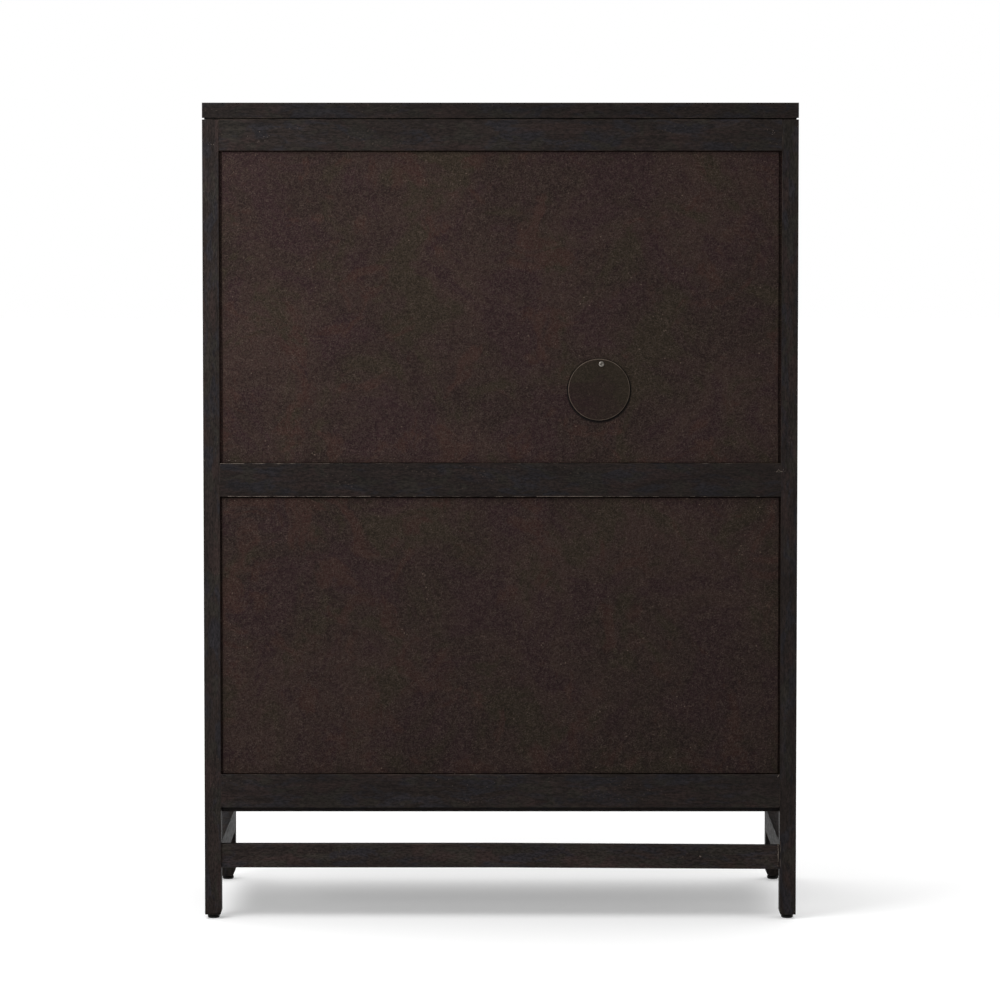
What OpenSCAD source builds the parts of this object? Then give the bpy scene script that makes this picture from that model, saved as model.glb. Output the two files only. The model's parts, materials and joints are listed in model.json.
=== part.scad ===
// Apothecary cabinet: a post-and-rail case on four legs, with a pair of glazed doors over
// a bank of nine small drawers, and two hardboard back panels with a covered cable hole.
// Millimetres, +Z up, front towards -Y, origin on the floor under the middle of the box
// that holds the whole cabinet, knobs included. Left and right are as seen from the front.

/* [Case] */
// Width over the legs
case_w = 1016; // [900:1:1100]
// Depth over the legs, without the knobs
case_d = 508; // [460:1:560]
// Height from the floor to the top face
case_h = 1400; // [1350:1:1450]
// Thickness of the top board
top_t = 26; // [20:1:32]
// Height of the shadow gap under the top board
shadow_gap_h = 2.5; // [2:0.5:5]
// Depth of the shadow gap
shadow_gap_d = 3.5; // [2:0.5:8]

/* [Legs] */
// Width of a leg, along X
leg_w = 28; // [26:1:36]
// Depth of a leg, along Y
leg_d = 38; // [34:1:44]
// Width of the chamfer on the inner corner of a front leg's foot
front_chamfer_w = 4.5; // [1:0.5:8]
// Height of the chamfer on the inner corner of a front leg's foot
front_chamfer_h = 10; // [4:1:30]
// Width of the chamfer on the inner corner of a back leg's foot
back_chamfer_w = 1.5; // [1:0.5:8]
// Height of the chamfer on the inner corner of a back leg's foot
back_chamfer_h = 5; // [4:1:30]
// Height of the leg's end above the floor, on its glide
leg_lift = 7.5; // [6.5:0.5:9]

/* [Rails] */
// Thickness of the front and back rails
rail_t = 20; // [18:1:22]
// Height of the top rails
top_rail_h = 53; // [40:1:70]
// Height of the middle and bottom rails
rail_h = 57; // [40:1:70]
// Height of the middle rails' top edge above the floor
middle_rail_top = 785; // [760:1:820]
// Height of the bottom rails' lower edge above the floor
bottom_rail_z = 193; // [180:1:220]
// Setback of the side rails and the stretchers from the legs' outer faces
side_setback = 4; // [2:1:6]
// Height of the back stretcher
back_stretcher_h = 40.5; // [30:0.5:60]
// Height of a side stretcher
side_stretcher_h = 43; // [30:0.5:60]
// Height of a stretcher's lower edge above the floor
stretcher_z = 88.5; // [70:0.5:100]
// Thickness of the back stretcher
back_stretcher_t = 20; // [16:1:20]

/* [Panels] */
// Thickness of a hardboard back panel
back_panel_t = 6; // [4:0.5:8]
// Setback of a back panel's outer face from the legs' back faces
back_recess = 6; // [4:0.5:8]
// Thickness of a side panel
side_panel_t = 8; // [6:0.5:10]
// Depth of the grooves that hold the panels
groove_d = 8; // [5:0.5:10]
// Thickness of the bottom board, the deck and the shelf
board_t = 18; // [15:1:20]
// Height of the bottom board's underside above the floor
bottom_board_z = 183.5; // [175:1:192]

/* [Cable hole] */
// Distance of the cover's pivot screw from the middle, towards the left
cover_pivot_x = 172.6; // [100:0.1:250]
// Height of the pivot screw above the floor
cover_pivot_z = 955; // [930:1:980]
// Distance of the disc's middle below its pivot screw
cover_drop = 43.9; // [42:0.1:48]
// Sideways offset of the disc's middle from its pivot screw
cover_swing_x = 4.1; // [0:0.1:6]
// Diameter of the cover disc
cover_dia = 105; // [100:1:115]
// Thickness of the cover disc
cover_t = 3; // [2:0.5:4]
// Diameter of the cable hole
cable_hole_dia = 64; // [50:1:66]

/* [Doors] */
// Gap round each door and drawer front
reveal = 2; // [2:0.1:3]
// Thickness of a door and of a drawer front
door_t = 20; // [18:1:22]
// Width of a door's stiles
stile_w = 44; // [36:1:60]
// Height of a door's top rail
door_top_h = 44; // [36:1:60]
// Height of a door's bottom rail
door_bottom_h = 54; // [40:1:70]
// Width of the glass rebate
rebate_w = 8; // [6:0.5:10]
// Thickness of the lip in front of the glass
lip_t = 8; // [6:0.5:9]
// Thickness of the glass
glass_t = 4; // [3:0.5:5]
// Width of a glazing bar
bar_w = 14; // [10:1:20]
// Projection of a knob from the front
knob_out = 26; // [20:1:32]

/* [Drawers] */
// Thickness of the uprights and blades between the drawers
blade_t = 20; // [16:1:24]
// Length of a drawer box behind its front
box_len = 440; // [380:1:445]
// Thickness of a drawer's sides and back
box_t = 12; // [9:1:14]
// Clearance over a drawer box
box_headroom = 20; // [10:1:30]
// Width and height of a drawer runner
runner = 14; // [12:1:18]

/* [Shelf] */
// Height of the shelf's underside above the floor
shelf_z = 1042.5; // [1000:0.5:1100]
// Spacing of the shelf pin holes
pin_pitch = 32; // [25:1:40]
// Number of pin holes in each leg
pin_holes = 5; // [3:2:7]

/* [Hidden] */
$fn = 64;
SIDES = ["left", "right"];
ENDS = ["front", "back"];
ROWS = ["lower", "middle", "upper"];
COLUMNS = ["left", "centre", "right"];
DRAWERS = [for (r = [0:2], c = [0:2]) str("drawer_", ROWS[r], "_", COLUMNS[c])];

fit = 0.15;          // gap in every glued or held joint
run = 0.05;          // gap round every shaft that turns
cut = 1;             // how far a cutting shape runs past the face it cuts
tenon_l = 16;
tenon_t = 10;
shoulder = 10;       // height of a tenon's upper and lower shoulders

half_w = case_w / 2;
inner_x = half_w - leg_w;                       // the legs' inner faces
back_y = (case_d + knob_out) / 2;               // the legs' back faces
front_y = back_y - case_d;                      // the legs' front faces
rail_top = case_h - top_t - shadow_gap_h;       // the legs' and rails' top ends
middle_rail_z = middle_rail_top - rail_h;
top_rail_z = rail_top - top_rail_h;
bottom_rail_top = bottom_rail_z + rail_h;
rail_rows = [[bottom_rail_z, rail_h], [middle_rail_z, rail_h], [top_rail_z, top_rail_h]];

// A member is [near face, thickness, lower edge, height].
function member(face, t, row) = [face, t, row[0], row[1]];
front_members = [for (row = rail_rows) member(front_y, rail_t, row)];
back_members = [for (row = rail_rows) member(back_y - rail_t, rail_t, row)];
back_stretcher_member = member(back_y - side_setback - back_stretcher_t, back_stretcher_t,
                               [stretcher_z, back_stretcher_h]);
side_rail_members = [for (row = rail_rows) member(inner_x, leg_w - side_setback, row)];
side_stretcher_member = member(inner_x, leg_w - side_setback, [stretcher_z, side_stretcher_h]);

panel_rows = [[bottom_rail_top, middle_rail_z], [middle_rail_top, top_rail_z]];
back_panel_y = back_y - back_recess - back_panel_t;
side_panel_x = inner_x + 6;
spacer_w = 22;                                  // width of the strips under the top

column_w = (2 * inner_x - 2 * blade_t) / 3;
row_h = (middle_rail_z - bottom_rail_top - 2 * blade_t) / 3;
function column_x(c) = -inner_x + c * (column_w + blade_t);
function row_z(r) = bottom_rail_top + r * (row_h + blade_t);
box_side_gap = 3;                               // from an opening's side to the drawer box
box_bottom_t = 6;
box_bottom_lift = 10;                           // from the box's lower edge to its bottom
box_groove_d = 6;

label_w = 66;
label_h = 34;
label_t = 1.6;
label_border = 5;
label_place = 0.66;                             // label's middle, as a part of the row height
knob_place = 0.31;                              // knob's middle, the same way
door_knob_place = 0.42;                         // as a part of the door's height

door_x0 = reveal / 2;
door_x1 = inner_x - reveal;
door_z0 = middle_rail_top + reveal;
door_z1 = top_rail_z - reveal;
glass_x = [door_x0 + stile_w, door_x1 - stile_w];
glass_z = [door_z0 + door_bottom_h, door_z1 - door_top_h];
glass_play = 0.5;                               // from the glass's edge to the rebate's

screw_r = 2.2;
cover_y = back_y - back_recess + 0.2;           // the cover disc's inner face

pin_r = 2.5;
pin_out = 9;
pin_in = 10.5;
pin_y = [front_y + 26, back_y - 26];
pin_z = shelf_z - pin_r - run;
shelf_y = [front_y + door_t + 2, back_panel_y - 4];

stem_r = 3;
stem_top = 29;
glide_r = 10.3;
socket_r = 5;
socket_top = 32;

knuckle_r = 3.5;
knuckles = 5;
hinge_pin_r = 1.5;
pin_tip_r = 2.8;
pin_tip_h = 2;
leaf_t = 0.9;
leaf_h = 60;
leaf_depth = 17;
hinge_inset = 70;                               // from a door's end to its hinge
hinge_x = inner_x - reveal / 2;
hinge_y = front_y - knuckle_r - 0.3;
hinge_rows = [door_z0 + hinge_inset, door_z1 - hinge_inset - leaf_h];

catch_w = 68;
catch_t = 14.6;
catch_drop = 18;                                // below a door's top edge
catch_rise = 22;                                // above the top rail's lower edge
strike_t = 1.2;
catch_gap = 0.2;

// ---- Shared shapes ----

// Block between two opposite corners.
module block(a, b) translate(a) cube(b - a);

// Outline in X and Z, given thickness from y0 to y1.
module profile_y(y0, y1, points)
  translate([0, y1, 0]) rotate([90, 0, 0]) linear_extrude(y1 - y0) polygon(points);

// Cylinder along +Y from y0 to y1.
module rod_y(x, y0, y1, z, r)
  translate([x, y1, z]) rotate([90, 0, 0]) cylinder(h = y1 - y0, r = r);

// Cylinder along X between x0 and x1.
module rod_x(x0, x1, y, z, r)
  translate([x0, y, z]) rotate([0, 90, 0]) cylinder(h = x1 - x0, r = r);

module sided(side) mirror([side == "left" ? 1 : 0, 0, 0]) children();

// Tenon of a member that runs along X, at its +X end; grow makes it a mortise.
module x_tenon(m, grow = 0) {
  middle = m[0] + m[1] / 2;
  block([inner_x - (grow > 0 ? cut : 0), middle - tenon_t / 2 - grow, m[2] + shoulder - grow],
        [inner_x + tenon_l + grow, middle + tenon_t / 2 + grow, m[2] + m[3] - shoulder + grow]);
}

// Tenon of a member that runs along Y, at its back end (or its front end), at +X.
module y_tenon(m, at_back, grow = 0) {
  middle = m[0] + m[1] / 2;
  face = at_back ? back_y - leg_d : front_y + leg_d;
  out = at_back ? 1 : -1;
  near = face - out * (grow > 0 ? cut : 0);
  far = face + out * (tenon_l + grow);
  block([middle - tenon_t / 2 - grow, min(near, far), m[2] + shoulder - grow],
        [middle + tenon_t / 2 + grow, max(near, far), m[2] + m[3] - shoulder + grow]);
}

// Member along X between the legs.
module x_member(m) {
  block([-inner_x, m[0], m[2]], [inner_x, m[0] + m[1], m[2] + m[3]]);
  for (side = SIDES) sided(side) x_tenon(m);
}

// Member along Y between a front and a back leg, at +X.
module y_member(m) {
  block([m[0], front_y + leg_d, m[2]], [m[0] + m[1], back_y - leg_d, m[2] + m[3]]);
  for (at_back = [true, false]) y_tenon(m, at_back);
}

module back_panel_blank(row, grow = 0)
  block([-inner_x - groove_d - grow, back_panel_y - grow, row[0] - groove_d - grow],
        [inner_x + groove_d + grow, back_panel_y + back_panel_t + grow,
         row[1] + groove_d + grow]);

module side_panel_blank(row, grow = 0)
  block([side_panel_x - grow, front_y + leg_d - groove_d - grow, row[0] - groove_d - grow],
        [side_panel_x + side_panel_t + grow, back_y - leg_d + groove_d + grow,
         row[1] + groove_d + grow]);

// ---- Case ----

module top_panel() color("#2b2724")
  block([-half_w, front_y, rail_top + shadow_gap_h], [half_w, back_y, case_h]);

module top_spacer() color("#151312") {
  x1 = half_w - shadow_gap_d;
  y0 = front_y + shadow_gap_d;
  y1 = back_y - shadow_gap_d;
  z = [rail_top, rail_top + shadow_gap_h];
  block([-x1, y0, z[0]], [x1, y0 + spacer_w, z[1]]);
  block([-x1, y1 - spacer_w, z[0]], [x1, y1, z[1]]);
  for (side = SIDES) sided(side)
    block([x1 - spacer_w, y0 + spacer_w + fit, z[0]], [x1, y1 - spacer_w - fit, z[1]]);
}

// Leg at +X, with its mortises, panel grooves, pin holes and glide socket hole.
module leg(is_back) color("#2b2724") {
  y0 = is_back ? back_y - leg_d : front_y;
  chamfer_w = is_back ? back_chamfer_w : front_chamfer_w;
  chamfer_h = is_back ? back_chamfer_h : front_chamfer_h;
  members = is_back ? concat(back_members, [back_stretcher_member]) : front_members;
  difference() {
    profile_y(y0, y0 + leg_d,
      [[inner_x, rail_top], [inner_x, leg_lift + chamfer_h], [inner_x + chamfer_w, leg_lift],
       [half_w, leg_lift], [half_w, rail_top]]);
    for (m = members) x_tenon(m, fit);
    for (m = concat(side_rail_members, [side_stretcher_member])) y_tenon(m, is_back, fit);
    for (row = panel_rows) side_panel_blank(row, fit);
    if (is_back) for (row = panel_rows) back_panel_blank(row, fit);
    for (i = [0:pin_holes - 1])
      rod_x(inner_x - cut, inner_x + pin_in + 0.5, pin_y[is_back ? 1 : 0],
            pin_z + (i - (pin_holes - 1) / 2) * pin_pitch, pin_r + fit);
    translate([half_w - leg_w / 2, y0 + leg_d / 2, leg_lift - cut])
      cylinder(h = socket_top - leg_lift + cut, r = socket_r);
  }
}

module front_rails() color("#2b2724") for (m = front_members) x_member(m);

// Back rail number i from the bottom, grooved for the panels above and below it.
module back_rail(i) color("#2b2724") difference() {
  x_member(back_members[i]);
  for (row = panel_rows) back_panel_blank(row, fit);
}

module side_rails() color("#2b2724")
  for (side = SIDES) sided(side) difference() {
    for (m = side_rail_members) y_member(m);
    for (row = panel_rows) side_panel_blank(row, fit);
  }

module side_panels() color("#2b2724") for (row = panel_rows) side_panel_blank(row);

module back_stretcher() color("#2b2724") x_member(back_stretcher_member);

module side_stretchers() color("#2b2724")
  for (side = SIDES) sided(side) y_member(side_stretcher_member);

module back_panel_lower() color("#3a2c28") back_panel_blank(panel_rows[0]);

module back_panel_upper() color("#3a2c28") difference() {
  back_panel_blank(panel_rows[1]);
  y = [back_panel_y - cut, back_panel_y + back_panel_t + cut];
  rod_y(cover_swing_x - cover_pivot_x, y[0], y[1], cover_pivot_z - cover_drop,
        cable_hole_dia / 2);
  rod_y(-cover_pivot_x, y[0], y[1], cover_pivot_z, screw_r + run);
}

// Board behind the front and back rails, from inner face to inner face.
module inner_board(z) color("#2b2724")
  block([-inner_x, front_y + rail_t, z], [inner_x, back_y - rail_t, z + board_t]);

// ---- Cable hole cover ----

module cable_cover() color("#2e2522") difference() {
  rod_y(cover_swing_x - cover_pivot_x, cover_y, cover_y + cover_t,
        cover_pivot_z - cover_drop, cover_dia / 2);
  rod_y(-cover_pivot_x, cover_y - cut, cover_y + cover_t + cut, cover_pivot_z, screw_r + run);
}

module cable_cover_screw() color("#8a8680") {
  head_y = cover_y + cover_t + 0.2;
  translate([-cover_pivot_x, head_y, cover_pivot_z]) rotate([-90, 0, 0]) rotate_extrude()
    polygon([[0, 0], [4.8, 0], [4.8, 0.8], [3.6, 1.8], [0, 2.2]]);
  rod_y(-cover_pivot_x, back_panel_y, head_y + 0.1, cover_pivot_z, screw_r);
}

// ---- Drawer openings ----

module drawer_face_frame() color("#2b2724") {
  y = [front_y, front_y + rail_t];
  for (c = [1, 2])
    block([column_x(c) - blade_t, y[0], bottom_rail_top],
          [column_x(c), y[1], middle_rail_z]);
  for (c = [0:2], r = [1, 2])
    block([column_x(c) + fit, y[0], row_z(r) - blade_t],
          [column_x(c) + column_w - fit, y[1], row_z(r)]);
}

module drawer_dividers() color("#4a3a2f")
  for (c = [1, 2])
    block([column_x(c) - blade_t, front_y + rail_t, bottom_board_z + board_t],
          [column_x(c), back_y - rail_t, middle_rail_z + rail_h - board_t]);

module drawer_runners() color("#6b523c")
  for (r = [0:2], c = [0:2], left = [true, false]) {
    x = left ? column_x(c) : column_x(c) + column_w - runner;
    block([x, front_y + rail_t, row_z(r) - runner], [x + runner, back_y - rail_t, row_z(r)]);
  }

// ---- Drawers ----

// Drawer as five boards: front, two sides, bottom and back.
module drawer(r, c) color("#5b4433") {
  x = [column_x(c), column_x(c) + column_w];
  z = [row_z(r), row_z(r) + row_h];
  box_x = [x[0] + box_side_gap, x[1] - box_side_gap];
  box_y = [front_y + door_t + fit, front_y + door_t + box_len];
  box_z = [z[0] + fit, z[1] - box_headroom];
  bottom_z = box_z[0] + box_bottom_lift;
  block([x[0] + reveal, front_y, z[0] + reveal],
        [x[1] - reveal, front_y + door_t, z[1] - reveal]);
  difference() {
    for (x0 = [box_x[0], box_x[1] - box_t])
      block([x0, box_y[0], box_z[0]], [x0 + box_t, box_y[1], box_z[1]]);
    drawer_bottom(box_x, [box_y[0] - cut, box_y[1] + cut], bottom_z, fit);
  }
  drawer_bottom(box_x, [box_y[0] + fit, box_y[1]], bottom_z);
  block([box_x[0] + box_t + fit, box_y[1] - box_t, bottom_z + box_bottom_t + fit],
        [box_x[1] - box_t - fit, box_y[1], box_z[1]]);
}

// Drawer bottom, its edges held in the sides' grooves; grow makes the grooves.
module drawer_bottom(box_x, y, z, grow = 0) {
  edge = box_t - box_groove_d - grow;
  block([box_x[0] + edge, y[0], z - grow], [box_x[1] - edge, y[1], z + box_bottom_t + grow]);
}

// Turned knob whose base is on the front face, pointing to -Y.
module knob(x, z) translate([x, front_y, z]) rotate([90, 0, 0]) rotate_extrude()
  polygon([[0, 0], [9, 0], [9, 1.5], [6, 3], [4.5, 6], [4.5, 11], [7.5, 14.5], [11, 17.5],
           [12, 20.5], [11, 23.5], [7.5, knob_out - 0.6], [0, knob_out]]);

// Label holder and knob of a drawer.
module drawer_pull(r, c) color("#6f5a3a") {
  x = column_x(c) + column_w / 2;
  label_z = row_z(r) + label_place * row_h;
  inner_w = label_w / 2 - label_border;
  inner_h = label_h / 2 - label_border;
  knob(x, row_z(r) + knob_place * row_h);
  difference() {
    block([x - label_w / 2, front_y - label_t, label_z - label_h / 2],
          [x + label_w / 2, front_y, label_z + label_h / 2]);
    block([x - inner_w, front_y - label_t - cut, label_z - inner_h],
          [x + inner_w, front_y + cut, label_z + inner_h]);
  }
}

// ---- Doors ----

// Right door's wooden frame: stiles, rails, glazing bars and the beads behind the glass.
module door_frame() color("#2b2724") {
  y = [front_y, front_y + door_t];
  difference() {
    union() {
      block([door_x0, y[0], door_z0], [glass_x[0], y[1], door_z1]);
      block([glass_x[1], y[0], door_z0], [door_x1, y[1], door_z1]);
      for (z = [[door_z0, glass_z[0]], [glass_z[1], door_z1]])
        block([glass_x[0] + fit, y[0], z[0]], [glass_x[1] - fit, y[1], z[1]]);
    }
    block([glass_x[0] - rebate_w, y[0] + lip_t, glass_z[0] - rebate_w],
          [glass_x[1] + rebate_w, y[1] + cut, glass_z[1] + rebate_w]);
  }
  glazing_bars();
  beads();
}

// One upright bar and two pairs of cross bars in front of the glass.
module glazing_bars() {
  y = [front_y + 1, front_y + lip_t - fit];
  middle = (glass_x[0] + glass_x[1]) / 2;
  bar = [middle - bar_w / 2, middle + bar_w / 2];
  block([bar[0], y[0], glass_z[0] + fit], [bar[1], y[1], glass_z[1] - fit]);
  for (i = [1, 2], x = [[glass_x[0], bar[0]], [bar[1], glass_x[1]]]) {
    z = glass_z[0] + i * (glass_z[1] - glass_z[0]) / 3 - bar_w / 2;
    block([x[0] + fit, y[0], z], [x[1] - fit, y[1], z + bar_w]);
  }
}

// Two level beads and two upright ones, filling the rebate behind the glass.
module beads() {
  y = [front_y + lip_t + glass_t + 2 * fit, front_y + door_t];
  x = [glass_x[0] - rebate_w + fit, glass_x[1] + rebate_w - fit];
  z = [glass_z[0] - rebate_w + fit, glass_z[1] + rebate_w - fit];
  w = rebate_w - fit;
  for (z0 = [z[0], z[1] - w]) block([x[0], y[0], z0], [x[1], y[1], z0 + w]);
  for (x0 = [x[0], x[1] - w])
    block([x0, y[0], z[0] + w + fit], [x0 + w, y[1], z[1] - w - fit]);
}

module door_glass() color("#cfd8d6", 0.3) {
  edge = rebate_w - glass_play;
  y = front_y + lip_t + fit;
  block([glass_x[0] - edge, y, glass_z[0] - edge],
        [glass_x[1] + edge, y + glass_t, glass_z[1] + edge]);
}

module door_knob() color("#6f5a3a")
  knob(door_x0 + stile_w / 2, door_z0 + door_knob_place * (door_z1 - door_z0));

// ---- Hinges and catch ----

// One leaf of a hinge: the fixed one has the odd knuckles, counted from one, and the
// moving one has the even ones.
module hinge_half(z, fixed) {
  pitch = leaf_h / knuckles;
  gap = 0.1;
  x = fixed ? hinge_x + run : hinge_x - run - leaf_t;
  difference() {
    union() {
      block([x, front_y, z], [x + leaf_t, front_y + leaf_depth, z + leaf_h]);
      for (k = [fixed ? 0 : 1:2:knuckles - 1]) {
        z0 = z + k * pitch + gap;
        z1 = z0 + pitch - 2 * gap;
        translate([hinge_x, hinge_y, z0]) cylinder(h = z1 - z0, r = knuckle_r);
        block([x, hinge_y + 2, z0], [x + leaf_t, front_y + 1, z1]);
      }
    }
    translate([hinge_x, hinge_y, z - cut]) cylinder(h = leaf_h + 2 * cut, r = hinge_pin_r + run);
  }
}

module hinge_leaves() color("#6f5a3a")
  for (side = SIDES, z = hinge_rows) sided(side) hinge_half(z, true);

module hinge_pins() color("#6f5a3a")
  for (side = SIDES, z = hinge_rows) sided(side) translate([hinge_x, hinge_y, z]) {
    translate([0, 0, -fit]) cylinder(h = leaf_h + 2 * fit, r = hinge_pin_r);
    for (tip = [-fit - pin_tip_h, leaf_h + fit])
      translate([0, 0, tip]) cylinder(h = pin_tip_h, r = pin_tip_r);
  }

// Right door's two moving leaves and the steel plate that its magnet catch pulls on.
module door_fittings() color("#6f5a3a") {
  y = front_y + door_t;
  for (z = hinge_rows) hinge_half(z, false);
  block([door_x0 + 8, y + fit, door_z1 - 16], [door_x0 + 28, y + strike_t, door_z1 - 2]);
}

// Twin magnet catch, held on the back of the front top rail and reaching down to the doors.
module door_catch() color("#3b3b3d") {
  x = catch_w / 2;
  y = front_y + door_t;
  y_back = y + strike_t + catch_gap + catch_t;
  block([-x, y + strike_t + catch_gap, door_z1 - catch_drop], [x, y_back, top_rail_z]);
  block([-x, front_y + rail_t, top_rail_z], [x, y_back, top_rail_z + catch_rise]);
}

// ---- Shelf and feet ----

module shelf() color("#2b2724")
  block([-inner_x + reveal, shelf_y[0], shelf_z],
        [inner_x - reveal, shelf_y[1], shelf_z + board_t]);

module shelf_pins() color("#8a8680")
  for (side = SIDES, y = pin_y) sided(side)
    rod_x(inner_x - pin_out, inner_x + pin_in, y, pin_z, pin_r);

// Places a shape at the foot of the leg at +X, front or back.
module at_foot(is_back)
  translate([half_w - leg_w / 2, is_back ? back_y - leg_d / 2 : front_y + leg_d / 2, 0])
    children();

module glide() color("#1a1817") rotate_extrude()
  polygon([[0, 0], [glide_r - 1.8, 0], [glide_r, 1.8], [glide_r, 5], [stem_r, 5.8],
           [stem_r, stem_top], [0, stem_top]]);

module glide_sockets() color("#8a8680")
  for (side = SIDES, is_back = [true, false]) sided(side) at_foot(is_back)
    translate([0, 0, leg_lift]) difference() {
      cylinder(h = socket_top - leg_lift - cut, r = socket_r - run);
      translate([0, 0, -cut]) cylinder(h = stem_top - leg_lift + 2 * cut, r = stem_r + run);
    }

// ---- Nodes ----

top_panel();
top_spacer();
front_rails();
back_rail(2);  // back_top_rail
back_rail(1);  // back_middle_rail
back_rail(0);  // back_bottom_rail
side_rails();
back_panel_upper();
back_panel_lower();
inner_board(bottom_board_z);  // bottom_panel
inner_board(middle_rail_top - board_t);  // middle_deck
drawer_face_frame();
drawer_dividers();
drawer_runners();
back_stretcher();
side_stretchers();
shelf();
shelf_pins();
glide_sockets();
hinge_leaves();
hinge_pins();
door_catch();
cable_cover();
cable_cover_screw();
for (e = ENDS, s = SIDES) {
  sided(s) leg(e == "back");
  sided(s) at_foot(e == "back") glide();
}
for (s = SIDES) {
  sided(s) side_panels();
  sided(s) door_frame();
  sided(s) door_glass();
  sided(s) door_knob();
  sided(s) door_fittings();
}
for (r = [0:2], c = [0:2]) {
  drawer(r, c);
  drawer_pull(r, c);
}
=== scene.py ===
"""Looks of the apothecary cabinet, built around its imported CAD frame.

Metres, +Z up. The doors and drawers face -Y, and the camera looks at the back, from +Y.
"""
import json
import math
import random

import bmesh
import bpy
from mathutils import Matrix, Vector, noise


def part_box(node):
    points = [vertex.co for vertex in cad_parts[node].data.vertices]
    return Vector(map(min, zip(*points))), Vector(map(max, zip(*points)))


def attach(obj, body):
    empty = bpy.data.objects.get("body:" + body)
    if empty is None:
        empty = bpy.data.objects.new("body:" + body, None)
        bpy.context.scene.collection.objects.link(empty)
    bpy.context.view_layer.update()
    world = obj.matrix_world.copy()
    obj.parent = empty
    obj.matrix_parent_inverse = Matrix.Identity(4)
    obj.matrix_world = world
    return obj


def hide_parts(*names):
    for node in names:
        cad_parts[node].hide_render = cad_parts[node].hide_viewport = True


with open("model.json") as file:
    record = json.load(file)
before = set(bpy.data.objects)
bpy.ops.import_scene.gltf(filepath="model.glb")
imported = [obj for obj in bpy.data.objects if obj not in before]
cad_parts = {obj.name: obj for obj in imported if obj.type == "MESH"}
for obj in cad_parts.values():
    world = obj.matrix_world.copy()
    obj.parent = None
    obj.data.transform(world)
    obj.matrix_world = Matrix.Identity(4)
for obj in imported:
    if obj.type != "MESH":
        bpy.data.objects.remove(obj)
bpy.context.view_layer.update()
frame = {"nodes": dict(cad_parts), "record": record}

NODES = frame["nodes"]
BODIES = frame["record"]["behaviour"]["bodies"]
BODY_OF = {node: body for body, members in BODIES.items() for node in members}
MM = 0.001
WELD_GAP = 0.001 * MM
ON_EDGE = 1e-6
SIDES = ("left", "right")
ROWS = ("lower", "middle", "upper")
COLUMNS = ("left", "centre", "right")
DRAWERS = [f"drawer_{row}_{column}" for row in ROWS for column in COLUMNS]

# ---- Places taken from the frame, and sizes ----

BACK_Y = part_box("leg_back_left")[1].y
FRONT_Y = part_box("leg_front_left")[0].y
INNER_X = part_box("leg_back_right")[0].x
PANEL_FACE_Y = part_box("back_panel_upper")[1].y
MIDDLE_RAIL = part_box("back_middle_rail")
BOTTOM_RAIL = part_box("back_bottom_rail")
TOP_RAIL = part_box("back_top_rail")
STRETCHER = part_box("back_stretcher")
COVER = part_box("cable_cover")
COVER_MIDDLE = 0.5 * (COVER[0] + COVER[1])
COVER_RADIUS = 0.5 * (COVER[1].x - COVER[0].x)
HOLE_RADIUS = 32 * MM
COVER_SCREW_SHANK = 2.2 * MM
COVER_SCREW_LIFT = 0.2 * MM
BORE_REACH = 20 * MM

# Knobs are narrower than this, and label holders are wider.
HOLDER_WIDTH = 30 * MM
HOLDER_SCREW = (1.5 * MM, 0.6 * MM)
HOLDER_SCREW_INSET = 2.5 * MM
CARD_MARGIN = 4.2 * MM
CARD_THICK = 0.7 * MM

# Filler crusts: how far apart their sections are, the least share of the full width that
# counts as still there, and how deep the foot is sunk.
CRUST_STEP = 0.8 * MM
CRUST_LEAST = 0.2
CRUST_DEPTH = 0.5 * MM

BOARD_EDGE = 0.8 * MM
COVER_EDGE = 0.9 * MM
PANEL_EDGE = 0.4 * MM
FITTING_EDGE = 0.2 * MM

# The sawn field of a back panel stands in front of a plain sheet that fills the grooves.
# It is built of cells, its edges sway a little, and it is painted slightly lighter towards +X, as
# painted light from that side.
PANEL_HEAD_GAP = 2.2 * MM
PANEL_SINK = 4 * MM
PANEL_CELL = 20 * MM
PANEL_SWAY = 0.9 * MM
PANEL_SIDE_LIGHT = 0.08

STRETCHER_DROOP = 2.8 * MM

# How light each board is against the rest. The top spacer's very low tone is painted shade in the
# shadow gap under the top.
BOARD_TONES_AND_SHADE = {"top_panel": 0.7, "top_spacer": 0.25, "bottom_panel": 0.55,
               "back_middle_rail": 0.8, "back_bottom_rail": 1.02, "back_stretcher": 1.36,
               "side_stretchers": 1.3, "leg_back_right": 1.06}

# Half profile of a knob in mm, as (radius, height above the front).
KNOB = ((9, 0), (9, 1.2), (8.6, 1.7), (7.0, 2.3), (5.8, 3.4), (4.9, 5.0), (4.5, 7.0), (4.4, 9.0),
        (4.7, 11.0), (5.6, 12.8), (7.4, 14.4), (9.6, 15.9), (11.2, 17.6), (11.9, 19.4),
        (12.0, 20.8), (11.6, 22.4), (10.6, 23.8), (8.8, 24.9), (6.2, 25.6), (3.2, 25.9), (0, 26.0))

# Half profile of a screw head, as shares of its radius and height, and its cross recess.
SCREW_HEAD = ((1.0, -0.1), (1.0, 0.3), (0.9, 0.62), (0.72, 0.86), (0.58, 0.95), (0.56, 1.0),
              (0.2, 1.0), (0.1, 1.0), (0, 1.0))
RECESS_REACH = 0.57
RECESS_HALF = 0.13
RECESS_DEPTH = 0.7

# Strengths of the world's parts, and of the floor.
WORLD_BASE = 0.15
WORLD_ABOVE = 1.45
WORLD_BEYOND = 3.0
WORLD_LEFT = 0.15
FLOOR_GLOW = 0.335
FLOOR_SEEN = 0.71
FLOOR_LIT = 0.4
FLOOR_REACH = 30.0

KEY_AT = (1.3, BACK_Y + 1.3, 1.9)
KEY_AIM = (0.2, BACK_Y, 1.0)
KEY_SIZE = 1.3
KEY_POWER = 29.0

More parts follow.
